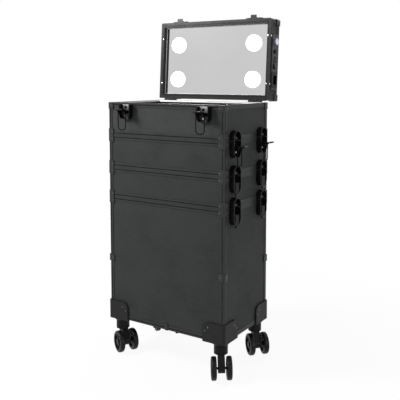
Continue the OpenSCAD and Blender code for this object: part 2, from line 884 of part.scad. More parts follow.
module lid_panels() {
    low = z_lid + rim_t;
    high = z_lid + lid_h - rim_t;
    color([0.27, 0.27, 0.27])
        opened() {
            for (s = [-1, 1])
                span([-panel_x, s > 0 ? inner_y : -panel_y, low],
                    [panel_x, s > 0 ? panel_y : -inner_y, high]);
            span([-panel_x, -inner_y + joint_gap, low], [-inner_x, inner_y - joint_gap, high]);
            difference() {
                span([inner_x, -inner_y + joint_gap, low], [panel_x, inner_y - joint_gap, high]);
                control_room(trim_gap);
            }
            span([-inner_x + joint_gap, -inner_y + joint_gap, high - wall_t],
                [inner_x - joint_gap, inner_y - joint_gap, high]);
        }
}

// The lid's edge profiles, and the frame round the mirror
module lid_profiles() {
    x = case_w / 2 - bezel_x;
    y = case_d / 2 - bezel_y;
    color([0.13, 0.13, 0.13])
        opened() {
            difference() {
                profile_frame(z_lid, z_lid + lid_h);
                control_room(trim_gap);
            }
            difference() {
                union() {
                    span([-inner_x - 0.5, -inner_y - 0.5, z_lid],
                        [inner_x + 0.5, inner_y + 0.5, z_lid + rim_t]);
                    span([-inner_x + joint_gap, -inner_y + joint_gap, z_lid],
                        [inner_x - joint_gap, inner_y - joint_gap, z_lid + bezel_t]);
                }
                span([-x, -y, z_lid - cut], [x, y, z_lid + bezel_t + cut]);
                for (in = [2.2, 4.4])
                    difference() {
                        span([-x - in - 0.8, -y - in - 0.8, z_lid - cut],
                            [x + in + 0.8, y + in + 0.8, z_lid + groove_d]);
                        span([-x - in, -y - in, z_lid - 2 * cut], [x + in, y + in, z_lid + cut]);
                    }
            }
        }
}

// Caps over the lid's outer corners with their rivets, and the screws that hold the mirror's frame
module lid_corner_caps() {
    top = z_lid + lid_h;
    color([0.18, 0.18, 0.18])
        opened() {
            difference() {
                case_prism(cap_t, top - cap_h, top + cap_t);
                case_prism(trim_gap, top - cap_h - cut, top + trim_gap);
                span([-case_w / 2 + cap_w, -case_d, top - 2 * cap_h],
                    [case_w / 2 - cap_w, case_d, top + cap_h]);
                span([-case_w, -case_d / 2 + cap_w, top - 2 * cap_h],
                    [case_w, case_d / 2 - cap_w, top + cap_h]);
            }
            corner_rivets(cap_w * 0.78, top - cap_h / 2, cap_t);
            for (sx = [-1, 1]) for (y = [-case_d * 0.285, case_d * 0.3])
                translate([sx * (case_w / 2 - bezel_x + 1.5), y, z_lid - lid_gap * 0.6])
                    cylinder(h = lid_gap * 0.6 - 0.02, r1 = 1, r2 = 1.4, $fn = 24);
        }
}

// Where each lamp's middle is, closed
LAMPS = [
    for (sx = [-1, 1]) for (u = [lamp_low, lamp_low + lamp_step])
        [sx * (case_w / 2 - lamp_x_in), case_d / 2 - u]
];

module mirror_glass() {
    color([0.8, 0.8, 0.8])
        opened()
            difference() {
                span([-inner_x + 0.5, -inner_y + 0.5, mirror_z],
                    [inner_x - 0.5, inner_y - 0.5, mirror_z + mirror_t]);
                for (l = LAMPS)
                    translate([l[0], l[1], mirror_z - cut])
                        cylinder(h = mirror_t + 2 * cut, r = lamp_r + 0.3);
            }
}

// The board that carries the lamps, and the lamp driver behind it
module mirror_board() {
    color([0.85, 0.85, 0.83])
        opened() {
            span([-inner_x + 0.5, -inner_y + 0.5, board_z], [inner_x - 0.5, inner_y - 0.5, back_z]);
            span([-driver_w * 0.75, -driver_d / 2, back_z + 0.1],
                [driver_w * 0.25, driver_d / 2, back_z + driver_h]);
        }
}

// Lamps: round diffusers with a rounded edge, on the board and out through the mirror
module lamps() {
    h = board_z - mirror_z + lamp_out;
    color([1, 1, 0.97])
        opened()
            for (l = LAMPS)
                translate([l[0], l[1], board_z - 0.05])
                    mirror([0, 0, 1])
                        rotate_extrude()
                            union() {
                                square([lamp_r - lamp_edge, h]);
                                square([lamp_r, h - lamp_edge]);
                                translate([lamp_r - lamp_edge, h - lamp_edge]) circle(lamp_edge);
                            }
}

// The catches on the lid's front face that the front loops hold
module lid_catches() {
    color([0.1, 0.1, 0.1])
        opened()
            for (f = FRONTS)
                on_front(f[1]) {
                    proud(trim_gap, 2.5)
                        translate([0, 1 + catch_h / 2])
                            union() {
                                square([catch_w - catch_h, catch_h], center = true);
                                for (s = [-1, 1])
                                    translate([s * (catch_w - catch_h) / 2, 0]) circle(catch_h / 2);
                            }
                    intersection() {
                        across(hook_w)
                            polygon([
                                [trim_gap, 1], [hook_out, 1], [hook_out, 4.5], [hook_out - 1, hook_top],
                                [6, hook_top], [6, 14], [trim_gap, 14]
                            ]);
                        proud(0, hook_out + cut)
                            polygon([
                                [-hook_w / 2, 0], [hook_w / 2, 0],
                                [hook_w / 2, 3.2], [hook_w / 2 - 4, hook_top],
                                [hook_w / 2 - 4, 15], [4 - hook_w / 2, 15],
                                [4 - hook_w / 2, hook_top], [-hook_w / 2, 3.2]
                            ]);
                    }
                    for (s = [-1, 1])
                        translate([s * (catch_w - catch_h) / 2, -2.4, 1 + catch_h / 2]) rivet();
                }
}

// ---- Light controls on the lid's right face ----

// A rounded outline in the plane of the lid's right face, raised out of it
module side_plate(y0, y1, z0, z1, u0, u1, r) {
    translate([case_w / 2 + u0, 0, 0]) rotate([90, 0, 90])
        linear_extrude(u1 - u0)
            union() {
                translate([y0 + r, z0]) square([y1 - y0 - 2 * r, z1 - z0]);
                translate([y0, z0 + r]) square([y1 - y0, z1 - z0 - 2 * r]);
                for (y = [y0 + r, y1 - r]) for (z = [z0 + r, z1 - r]) translate([y, z]) circle(r);
            }
}

// A round piece that stands out of the lid's right face at [y, z] between two distances
module side_pin(at, u0, u1, r) {
    translate([case_w / 2 + u0, at[0], at[1]]) rotate([0, 90, 0]) cylinder(h = u1 - u0, r = r);
}

rocker_pivot = panel_t - 2.6; // the rocker's pin, out from the lid's face

module control_panel() {
    face = panel_t;
    out = case_w / 2;
    y = socket_at[0];
    z = socket_at[1];
    color([0.08, 0.08, 0.08])
        opened()
            difference() {
                union() {
                    side_plate(box_front - 4, box_rear + 4, box_low - plate_under, box_high + plate_over,
                        trim_gap, face, 4);
                    side_plate(y - socket_plate, y + socket_plate, box_low - plate_under + 2, box_high,
                        trim_gap, face + socket_plate_out, 3);
                    span([out - box_deep, box_front, box_low], [out + face / 2, box_rear, box_high]);
                }
                side_pin(knob_at, face - 10, face + cut, shaft_r + run_fit);
                side_pin(button_at, face - 9, face + cut, button_r + run_fit);
                difference() {
                    rocker_well();
                    translate([case_w / 2 + rocker_pivot, rocker_at[0], rocker_at[1]])
                        cylinder(h = 2 * rocker_w, r = pin_r, center = true);
                }
                difference() {
                    span([out + face + socket_plate_out - socket_deep, y - socket_w / 2, z - socket_h / 2],
                        [out + face + cut, y + socket_w / 2, z + socket_h / 2]);
                    for (blade = [-7, 0, 7])
                        span([out - socket_deep - cut, y + blade - 1, z - (blade == 0 ? 4 : 1)],
                            [out - 4, y + blade + 1, z + (blade == 0 ? 1 : 4)]);
                }
            }
}

module rocker_well() {
    y = rocker_l / 2 + 0.9;
    z = rocker_w / 2 + 0.4;
    span([case_w / 2 + panel_t - 9, rocker_at[0] - y, rocker_at[1] - z],
        [case_w / 2 + panel_t + cut, rocker_at[0] + y, rocker_at[1] + z]);
}

// The knob's cap and the shaft that it is pressed on
module dimmer_knob() {
    foot = panel_t + 0.3;
    deep = knob_h * 0.6;
    color([0.62, 0.64, 0.72])
        opened() {
            side_pin(knob_at, panel_t - 9, foot + deep - trim_gap, shaft_r);
            difference() {
                union() {
                    side_pin(knob_at, foot, foot + knob_h - 1, knob_r);
                    side_pin(knob_at, foot, foot + knob_h, knob_r - 1);
                }
                side_pin(knob_at, foot - cut, foot + deep, shaft_r + trim_gap);
                for (i = [0 : 17])
                    translate([case_w / 2 + foot + 1.5, knob_at[0], knob_at[1]]) rotate([i * 20, 0, 0])
                        translate([0, knob_r + 0.3, 0]) rotate([0, 90, 0])
                            cylinder(h = knob_h, r = 0.8, $fn = 16);
                span([case_w / 2 + foot + knob_h - 0.5, knob_at[0] - 0.6, knob_at[1] + 1],
                    [case_w / 2 + foot + knob_h + cut, knob_at[0] + 0.6, knob_at[1] + knob_r + cut]);
            }
        }
}

module push_button() {
    color([0.2, 0.2, 0.2])
        opened()
            union() {
                side_pin(button_at, panel_t - 7, panel_t + button_travel + 0.8, button_r);
                side_pin(button_at, panel_t, panel_t + button_travel + 1.4, button_r - 0.8);
            }
}

// The rocker rests turned to one side
module rocker_switch() {
    y = rocker_l / 2;
    color([0.16, 0.16, 0.16])
        opened()
            translate([case_w / 2 + rocker_pivot, rocker_at[0], rocker_at[1]])
                rotate([0, 0, -rocker_turn / 2])
                    difference() {
                        linear_extrude(rocker_w, center = true)
                            polygon([
                                [-2.4, -y], [-2.4, y], [3, y], [4.9, y - 0.6],
                                [3.6, 0], [4.9, -y + 0.6], [3, -y]
                            ]);
                        cylinder(h = 2 * rocker_w, r = pin_r + run_fit, center = true);
                    }
}

// ---- Sub-parts ----

trolley_panels();
third_section_panels();
second_section_panels();
top_section_panels();
edge_profiles();
corner_caps();
rivets();
corner_brackets();
latch_plates();
case_hinge_leaves();
section_dividers();
tray();
lid_panels();
lid_profiles();
lid_corner_caps();
mirror_glass();  // mirror
mirror_board();
lamps();
lid_catches();
lid_hinge_leaves();
control_panel();
dimmer_knob();
push_button();
rocker_switch();
for (c = CASTERS) {
    caster(c);
    wheels(c);
}
for (n = LATCH_NAMES) {
    lever_at(n);
    loop_at(n);
}
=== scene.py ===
import math

import bmesh
import bpy
from mathutils import Matrix, Vector


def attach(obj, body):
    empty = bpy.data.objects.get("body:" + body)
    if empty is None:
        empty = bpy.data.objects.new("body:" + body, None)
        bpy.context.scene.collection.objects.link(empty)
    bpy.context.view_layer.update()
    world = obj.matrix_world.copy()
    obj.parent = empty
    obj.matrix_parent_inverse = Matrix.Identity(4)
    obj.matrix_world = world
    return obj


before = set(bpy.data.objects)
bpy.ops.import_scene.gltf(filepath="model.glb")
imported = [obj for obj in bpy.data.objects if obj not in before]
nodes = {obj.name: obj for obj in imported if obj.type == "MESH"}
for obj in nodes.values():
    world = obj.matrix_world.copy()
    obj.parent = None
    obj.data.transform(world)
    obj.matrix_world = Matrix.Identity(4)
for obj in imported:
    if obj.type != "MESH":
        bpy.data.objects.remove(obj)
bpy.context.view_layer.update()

# Sizes below are millimetres, as in the CAD; pieces on the lid are laid out with the lid closed.
MM = 0.001
HALF_W, HALF_D = 180.0, 109.0          # the case's outline, from its middle
GROUND = 91.5                          # underside of the case
RIM = 672.5                            # upper edge of the case
LID = 672.9                            # lower edge of the closed lid
INNER_X, INNER_Y = 174.3, 103.3        # inside of the section walls
WINDOW_X, WINDOW_Y = 170.0, 96.0       # inside of the mirror's frame
MIRROR = 686.0                         # face of the mirror, lid closed
GROOVE_DEPTH = 0.5                     # grooves of the profiles
DISH = 2.0                             # floor of a front latch's dish, out from the panel
PLATE_OUT = 1.45                       # thickness of the plate round the controls
STUD_OUT, STUD_LOW = 2.8, 200.0        # studs stand out further than rivets, and lie higher up
CLIP_Z, CLIP_HALF = 255.0, 9.0         # clips on the upright profiles
CLIP_OUT, CLIP_REACH = 1.2, 15.0
UNDER_CLIP = (1.5, 11.5)               # ends, along x, of the clips under the case
SEAT = 0.02                            # clearance between added pieces and the CAD's faces
LOCK_X = (("left", -116.0), ("right", 126.0))
SCREW_Y = (-62.1, 65.4)
HINGE = Vector((0.0, 0.113, 0.674))
OPENED = Matrix.Translation(HINGE) @ Matrix.Rotation(math.radians(-93.8), 4, "X") @ Matrix.Translation(-HINGE)


# ---- Camera, at the photograph's angle ----

cam = bpy.data.cameras.new("camera")
# The sensor's height sets the field of view. Its narrower width makes a view from another side step back,
# so that the shift doesn't cut off the lid there
cam.sensor_fit = "VERTICAL"
cam.sensor_height = 36.0
cam.sensor_width = 24.4
cam.lens = 57.90
cam.shift_x = -0.0495
cam.shift_y = -0.18
cam.clip_start = 0.05
camera = bpy.data.objects.new("camera", cam)
camera.location = (0.9737, -1.3997, 0.7364)
camera.rotation_euler = (math.radians(85.558), math.radians(-0.075), math.radians(31.992))
bpy.context.scene.collection.objects.link(camera)
bpy.context.scene.camera = camera
bpy.context.scene.view_settings.view_transform = "Standard"


# ---- Node tree helpers ----

class Tree:
    """A material's or the world's node tree, with short ways to add and join nodes."""

    def __init__(self, tree):
        self.t = tree
        self.t.nodes.clear()

    def add(self, kind, **values):
        n = self.t.nodes.new(kind)
        for k, v in values.items():
            setattr(n, k, v)
        return n

    def join(self, a, b):
        self.t.links.new(a, b)


def material(name, color, rough, metallic=0.0, specular=0.5):
    """A Principled material; returns it, its tree helper and the shader node."""
    m = bpy.data.materials.new(name)
    m.use_nodes = True
    t = Tree(m.node_tree)
    p = t.add("ShaderNodeBsdfPrincipled")
    p.inputs["Base Color"].default_value = (*color, 1)
    p.inputs["Roughness"].default_value = rough
    p.inputs["Metallic"].default_value = metallic
    p.inputs["Specular IOR Level"].default_value = specular
    out = t.add("ShaderNodeOutputMaterial")
    t.join(p.outputs[0], out.inputs[0])
    return m, t, p


def coords(t):
    return t.add("ShaderNodeTexCoord").outputs["Object"]


def noise(t, at, scale, detail=3.0, rough=0.5):
    n = t.add("ShaderNodeTexNoise")
    n.inputs["Scale"].default_value = scale
    n.inputs["Detail"].default_value = detail
    n.inputs["Roughness"].default_value = rough
    t.join(at, n.inputs["Vector"])
    return n.outputs["Fac"]


def ramp(t, value, stops):
    n = t.add("ShaderNodeValToRGB")
    e = n.color_ramp.elements
    while len(e) < len(stops):
        e.new(0.5)
    for i, (pos, color) in enumerate(stops):
        e[i].position = pos
        e[i].color = (*color, 1)
    t.join(value, n.inputs["Fac"])
    return n.outputs["Color"]


def remap(t, value, low, high, lo_in=0.3, hi_in=0.7):
    n = t.add("ShaderNodeMapRange")
    n.inputs["From Min"].default_value = lo_in
    n.inputs["From Max"].default_value = hi_in
    n.inputs["To Min"].default_value = low
    n.inputs["To Max"].default_value = high
    t.join(value, n.inputs["Value"])
    return n.outputs["Result"]


def bump(t, height, strength, distance, normal=None):
    n = t.add("ShaderNodeBump")
    n.inputs["Strength"].default_value = strength
    n.inputs["Distance"].default_value = distance
    t.join(height, n.inputs["Height"])
    if normal is not None:
        t.join(normal, n.inputs["Normal"])
    return n.outputs["Normal"]


def math_node(t, operation, *values):
    """A Math node; each value is a socket to join or a number."""
    n = t.add("ShaderNodeMath", operation=operation)
    for i, v in enumerate(values):
        if isinstance(v, float):
            n.inputs[i].default_value = v
        else:
            t.join(v, n.inputs[i])
    return n.outputs[0]


def seen_directly(t):
    """1 for what the camera sees itself, in a mirror or through glass, and 0 for light on the object."""
    path = t.add("ShaderNodeLightPath")
    either = math_node(t, "MAXIMUM", path.outputs["Is Camera Ray"], path.outputs["Is Glossy Ray"])
    return math_node(t, "MAXIMUM", either, path.outputs["Is Transmission Ray"])


def mix_shaders(t, factor, first, second):
    n = t.add("ShaderNodeMixShader")
    for i, socket in enumerate((factor, first, second)):
        t.join(socket, n.inputs[i])
    return n.outputs[0]


def shade(c, k):
    return tuple(min(1.0, v * k) for v in c)


def leather(name, color, rough=0.5, grain=1.0):
    """Embossed sheet with a fine leather-like grain and a slow change of tone."""
    m, t, p = material(name, color, rough, specular=0.13)
    at = coords(t)
    cells = t.add("ShaderNodeTexVoronoi", feature="DISTANCE_TO_EDGE")
    cells.inputs["Scale"].default_value = 780.0
    warp = t.add("ShaderNodeVectorMath", operation="MULTIPLY_ADD")
    wobble = t.add("ShaderNodeTexNoise")
    wobble.inputs["Scale"].default_value = 420.0
    t.join(at, wobble.inputs["Vector"])
    t.join(wobble.outputs["Color"], warp.inputs[0])
    warp.inputs[1].default_value = (0.0011, 0.0011, 0.0011)
    t.join(at, warp.inputs[2])
    t.join(warp.outputs[0], cells.inputs["Vector"])
    edge = remap(t, cells.outputs["Distance"], 0.0, 1.0, 0.0, 0.22)
    fine = noise(t, at, 2600.0, 2.0)
    n1 = bump(t, edge, 0.32 * grain, 0.00022)
    n2 = bump(t, fine, 0.12 * grain, 0.0001, n1)
    t.join(n2, p.inputs["Normal"])
    slow = noise(t, at, 9.0, 3.0, 0.6)
    mid = noise(t, at, 95.0, 4.0, 0.6)
    flat = t.add("ShaderNodeMapping")
    flat.inputs["Scale"].default_value = (30.0, 30.0, 420.0)
    t.join(at, flat.inputs["Vector"])
    streak = noise(t, flat.outputs["Vector"], 1.0, 3.0, 0.6)
    uneven = math_node(t, "MULTIPLY_ADD", mid, 0.35, slow)
    uneven = math_node(t, "MULTIPLY_ADD", streak, 0.5, uneven)
    tone = ramp(t, uneven, [(0.60, shade(color, 0.80)), (1.22, shade(color, 1.22))])
    t.join(tone, p.inputs["Base Color"])
    t.join(remap(t, mid, rough - 0.05, rough + 0.07), p.inputs["Roughness"])
    return m


def painted(name, color, rough=0.4, grain=0.5, specular=0.5):
    """Powder-coated or anodised metal: faint orange peel and slow changes of gloss."""
    m, t, p = material(name, color, rough, specular=specular)
    at = coords(t)
    peel = noise(t, at, 900.0, 2.0)
    slow = noise(t, at, 22.0, 4.0, 0.6)
    t.join(bump(t, peel, 0.12 * grain, 0.0001), p.inputs["Normal"])
    t.join(remap(t, slow, rough - 0.06, rough + 0.08), p.inputs["Roughness"])
    t.join(ramp(t, slow, [(0.3, shade(color, 0.85)), (0.7, shade(color, 1.15))]), p.inputs["Base Color"])
    return m


def brushed(name, color, rough=0.28):
    m, t, p = material(name, color, rough, metallic=1.0)
    at = coords(t)
    grain = noise(t, at, 1500.0, 3.0)
    slow = noise(t, at, 60.0, 3.0)
    t.join(bump(t, grain, 0.1, 0.00005), p.inputs["Normal"])
    t.join(remap(t, grain, rough - 0.05, rough + 0.1), p.inputs["Roughness"])
    t.join(ramp(t, slow, [(0.3, shade(color, 0.88)), (0.7, shade(color, 1.08))]), p.inputs["Base Color"])
    return m


def moulded(name, color, rough=0.45, grain=0.6, specular=0.45):
    """Injection-moulded plastic with a spark-eroded surface."""
    m, t, p = material(name, color, rough, specular=specular)
    at = coords(t)
    pit = noise(t, at, 1700.0, 3.0, 0.6)
    slow = noise(t, at, 35.0, 3.0)
    t.join(bump(t, pit, 0.16 * grain, 0.0001), p.inputs["Normal"])
    t.join(remap(t, slow, rough - 0.05, rough + 0.07), p.inputs["Roughness"])
    t.join(ramp(t, slow, [(0.3, shade(color, 0.88)), (0.7, shade(color, 1.12))]), p.inputs["Base Color"])
    return m


def dress(name, mat):
    o = nodes[name]
    for s in o.material_slots:
        s.material = mat
    if not o.material_slots:
        o.data.materials.append(mat)


panel = leather("panel_grain", (0.026, 0.027, 0.027), 0.62)
profile = painted("profile_paint", (0.024, 0.025, 0.025), 0.42, 0.5, 0.22)
# A lighter copy of the panel material: painted light for the top section's front face
lit_panel = leather("panel_grain_painted_light", (0.032, 0.033, 0.033), 0.60)
lid_profile = painted("lid_profile_paint", (0.012, 0.012, 0.012), 0.40, 0.5, 0.20)
# Near-black painted shade for the bottoms of the grooves
groove_shade = painted("groove_painted_shade", (0.004, 0.004, 0.004), 0.6, 0.3, 0.1)
cap = painted("cap_paint", (0.022, 0.023, 0.023), 0.44, 0.5, 0.22)
rivet = painted("rivet_paint", (0.030, 0.030, 0.030), 0.24, 0.2, 0.8)
steel = brushed("stud_steel", (0.66, 0.66, 0.65), 0.22)
bracket = painted("bracket_paint", (0.013, 0.013, 0.013), 0.50, 1.0, 0.15)
latch = painted("latch_paint", (0.003, 0.003, 0.003), 0.34, 0.4, 0.24)
latch_floor = painted("latch_floor_paint", (0.050, 0.050, 0.048), 0.45, 0.4, 0.25)
lever = painted("lever_paint", (0.003, 0.003, 0.003), 0.38, 0.4, 0.10)
wire = painted("wire_paint", (0.0015, 0.0015, 0.0015), 0.42, 0.3, 0.03)
hinge = painted("hinge_paint", (0.008, 0.008, 0.008), 0.42, 0.4, 0.2)
caster = moulded("caster_plastic", (0.004, 0.004, 0.004), 0.46, 0.6, 0.14)
wheel = moulded("wheel_plastic", (0.004, 0.004, 0.004), 0.40, 0.6, 0.16)
controls = moulded("controls_plastic", (0.003, 0.003, 0.003), 0.42, 0.4, 0.12)
gloss = moulded("button_plastic", (0.002, 0.002, 0.002), 0.30, 0.1, 0.12)
knob = brushed("knob_metal", (0.66, 0.67, 0.80), 0.24)
tray = moulded("tray_plastic", (0.010, 0.010, 0.010), 0.5, 0.4, 0.2)
glass_edge = moulded("glass_edge", (0.86, 0.87, 0.86), 0.3, 0.2)
lock_plate = brushed("lock_plate_metal", (0.17, 0.17, 0.165), 0.46)
board = moulded("board_plastic", (0.75, 0.75, 0.73), 0.6, 0.4)


def lining():
    """Short black pile on the dividers."""
    m, t, p = material("lining_felt", (0.022, 0.022, 0.022), 0.95, specular=0.2)
    p.inputs["Sheen Weight"].default_value = 0.3
    at = coords(t)
    pile = noise(t, at, 1300.0, 4.0, 0.7)
    t.join(bump(t, pile, 0.5, 0.0003), p.inputs["Normal"])
    tone = ramp(t, pile, [(0.35, (0.014, 0.014, 0.014)), (0.65, (0.034, 0.034, 0.034))])
    t.join(tone, p.inputs["Base Color"])
    return m


def silvered():
    """The mirror: a grey-tinted silvering with a very slow change of tone."""
    m, t, p = material("mirror_silver", (0.575, 0.58, 0.575), 0.06, metallic=1.0)
    at = coords(t)
    slow = noise(t, at, 4.0, 2.0)
    t.join(ramp(t, slow, [(0.35, (0.56, 0.565, 0.56)), (0.65, (0.60, 0.605, 0.60))]), p.inputs["Base Color"])
    return m


def opal(name, strength):
    """A lit diffuser with a faint fine texture."""
    m, t, p = material(name, (0.9, 0.9, 0.88), 0.4)
    p.inputs["Emission Color"].default_value = (1.0, 0.995, 0.985, 1)
    p.inputs["Emission Strength"].default_value = strength
    at = coords(t)
    fine = noise(t, at, 700.0, 2.0)
    t.join(bump(t, fine, 0.05, 0.0001), p.inputs["Normal"])
    return m


def woven():
    """The pale cloth on the top section's inner walls."""
    m, t, p = material("lining_cloth", (0.90, 0.90, 0.88), 0.85, specular=0.2)
    at = coords(t)
    waves = []
    for turn in ((0, 0, 0), (0, math.radians(90), math.radians(90))):
        turned = t.add("ShaderNodeMapping")
        turned.inputs["Rotation"].default_value = turn
        t.join(at, turned.inputs["Vector"])
        wave = t.add("ShaderNodeTexWave")
        wave.inputs["Scale"].default_value = 420.0
        wave.inputs["Distortion"].default_value = 0.6
        t.join(turned.outputs["Vector"], wave.inputs["Vector"])
        waves.append(wave.outputs["Fac"])
    t.join(bump(t, math_node(t, "ADD", *waves), 0.3, 0.0002), p.inputs["Normal"])
    slow = noise(t, at, 18.0, 3.0)
    t.join(ramp(t, slow, [(0.3, (0.86, 0.86, 0.84)), (0.7, (0.93, 0.93, 0.91))]), p.inputs["Base Color"])
    return m


cloth = woven()
felt = lining()
mirror = silvered()
lamp = opal("lamp_opal", 1.6)

for n in ("trolley_panels", "third_section_panels", "second_section_panels", "top_section_panels",
          "lid_panels"):
    dress(n, panel)
dress("edge_profiles", profile)
dress("lid_profiles", lid_profile)
for n in ("corner_caps", "lid_corner_caps"):
    dress(n, cap)
dress("rivets", rivet)
dress("corner_brackets", bracket)
for n in ("latch_plates", "lid_catches"):
    dress(n, latch)
for n in ("case_hinge_leaves", "lid_hinge_leaves"):
    dress(n, hinge)
dress("section_dividers", felt)
dress("tray", tray)
dress("mirror", mirror)
dress("mirror_board", board)
dress("lamps", lamp)
dress("control_panel", controls)
dress("dimmer_knob", knob)
dress("push_button", gloss)
dress("rocker_switch", gloss)
for n in nodes:
    if n.startswith("caster_"):
        dress(n, caster)
    elif n.startswith("wheels_"):
        dress(n, wheel)
    elif n.startswith("lever_"):
        dress(n, lever)
    elif n.startswith("loop_"):
        dress(n, wire)


def paint_faces(name, mat, wanted, closed=False):
    """Gives a second material to the faces of a node that a test of (middle, direction) picks."""
    o = nodes[name]
    o.data.materials.append(mat)
    to = OPENED.inverted() @ o.matrix_world if closed else o.matrix_world
    turn = to.to_3x3()
    for poly in o.data.polygons:
        if wanted(to @ poly.center / MM, turn @ poly.normal):
            poly.material_index = len(o.data.materials) - 1


def near(a, b):
    return abs(a - b) < 0.06


def in_groove(c, n):
    """The bottoms of the profiles' grooves, which get painted shade, but for the level ones on the sides,
    which hardly show.
    """
    x = near(abs(c.x), HALF_W - GROOVE_DEPTH) and abs(c.y) > HALF_D / 2
    y = near(abs(c.y), HALF_D - GROOVE_DEPTH)
    return (x and abs(n.x) > 0.9) or (y and abs(n.y) > 0.9)


# The groove bottoms, also those round the mirror's frame, are darkened as painted shade
paint_faces("edge_profiles", groove_shade, in_groove)
paint_faces("lid_profiles", groove_shade,
            lambda c, n: in_groove(c, n) or (near(c.z, LID + GROOVE_DEPTH) and abs(n.z) > 0.9), closed=True)
paint_faces("latch_plates", latch_floor,
            lambda c, n: abs(c.y + HALF_D + DISH) < 0.1 and n.y < -0.9)
paint_faces("control_panel", profile, lambda c, n: HALF_W < c.x < HALF_W + PLATE_OUT, closed=True)
# The top section's front face gets the lighter copy, as painted light on the upper part of the front
paint_faces("top_section_panels", lit_panel, lambda c, n: n.y < -0.9 and c.y < -INNER_Y - 2)

# The studs that the levers close against are bright steel; they stand further out than the rivets
paint_faces("rivets", steel,
            lambda c, n: c.z > STUD_LOW and (abs(c.x) > HALF_W + STUD_OUT or c.y < -HALF_D - STUD_OUT))


# ---- Pieces that the CAD leaves out ----

def piece(name, bm, mat, body, smooth=None, place=None):
    """Makes an object from a mesh drawn in millimetres and puts it on a body."""
    bmesh.ops.scale(bm, vec=(MM, MM, MM), verts=bm.verts)
    bmesh.ops.recalc_face_normals(bm, faces=bm.faces)
    me = bpy.data.meshes.new(name)
    bm.to_mesh(me)
    bm.free()
    me.materials.append(mat)
    o = bpy.data.objects.new(name, me)
    bpy.context.scene.collection.objects.link(o)
    if smooth:
        for poly in me.polygons:
            poly.use_smooth = True
        me.set_sharp_from_angle(angle=math.radians(smooth))
    if place is not None:
        o.matrix_world = place
    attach(o, body)
    return o


def slab(bm, low, high, bevel=0.0):
    """A box between two corners with its edges eased."""
    low, high = Vector(low), Vector(high)
    made = bmesh.ops.create_cube(bm, size=1.0)["verts"]
    for v in made:
        v.co = Vector(((low[i] + high[i]) / 2 + v.co[i] * (high[i] - low[i]) for i in range(3)))
    if bevel:
        edges = {e for v in made for e in v.link_edges}
        bmesh.ops.bevel(bm, geom=list(edges), offset=bevel, segments=2, profile=0.5, affect="EDGES")


def lathe(bm, profile, at, axis="Z", steps=32, flip=False):
    """Turns an outline of [radius, height] points, both ends on or near the axis, about an axis."""
    rings = []
    for r, h in profile:
        h = -h if flip else h
        ring = []
        for i in range(steps):
            a = 2 * math.pi * i / steps
            u, v = r * math.cos(a), r * math.sin(a)
            p = {"X": (h, u, v), "Y": (u, h, v), "Z": (u, v, h)}[axis]
            ring.append(bm.verts.new(Vector(at) + Vector(p)))
        rings.append(ring)
    for a, b in zip(rings, rings[1:]):
        for i in range(steps):
            j = (i + 1) % steps
            bm.faces.new((a[i], a[j], b[j], b[i]))
    bm.faces.new(rings[0])
    bm.faces.new(rings[-1])


def rectangle_ring(bm, x, y, wide, z0, z1):
    """A flat frame inside the rectangle of half sides x and y."""
    loops = []
    for dx, z in ((0, z0), (wide, z0), (wide, z1), (0, z1)):
        a, b = x - dx, y - dx
        loops.append([bm.verts.new(Vector(c)) for c in ((-a, -b, z), (a, -b, z), (a, b, z), (-a, b, z))])
    for k in range(4):
        p, q = loops[k], loops[(k + 1) % 4]
        for i in range(4):
            j = (i + 1) % 4
            bm.faces.new((p[i], p[j], q[j], q[i]))


def mirror_edge():
    """The pale edge of the glass, seen as a line inside the frame."""
    bm = bmesh.new()
    rectangle_ring(bm, WINDOW_X - SEAT, WINDOW_Y - SEAT, 1.5, MIRROR - 0.9, MIRROR - SEAT)
    o = piece("mirror_edge", bm, glass_edge, "lid", place=OPENED)
    m = o.modifiers.new("ease", "BEVEL")
    m.width = 0.0002
    m.segments = 2


HEAD = [(2.1, 0.0), (2.1, 0.12), (1.7, 0.26), (1.0, 0.32), (0.9, 0.12), (0.02, 0.1)]
ROUND_HEAD = [(2.2, 0.0), (2.2, 0.3), (1.9, 0.7), (1.2, 1.0), (0.9, 1.05), (0.75, 0.7), (0.02, 0.65)]


def lid_screws():
    """Steel screws in the mirror's frame and in the lid's sides."""
    bm = bmesh.new()
    for sx in (-1, 1):
        for y in SCREW_Y:
            lathe(bm, HEAD, (sx * (WINDOW_X + 2.4), y, LID - 0.01), "Z", 28, flip=True)
            lathe(bm, ROUND_HEAD, (sx * (HALF_W + 0.01), y, LID + 4.6), "X", 28, flip=sx < 0)
    piece("lid_screws", bm, steel, "lid", smooth=35, place=OPENED)


def top_lining():
    """Cloth on the inside of the top section's walls, from the ledges up."""
    bm = bmesh.new()
    t, low, high = 0.7, RIM - 42.0, RIM - 0.2
    for s in (-1, 1):
        a, b = sorted((s * (INNER_X - 0.06), s * (INNER_X - 0.06 - t)))
        slab(bm, (a, -INNER_Y + 0.1, low), (b, INNER_Y - 0.1, high), 0.15)
        a, b = sorted((s * (INNER_Y - 0.06), s * (INNER_Y - 0.06 - t)))
        slab(bm, (-INNER_X + 0.85, a, low), (INNER_X - 0.85, b, high), 0.15)
    piece("top_lining", bm, cloth, "case", smooth=30)


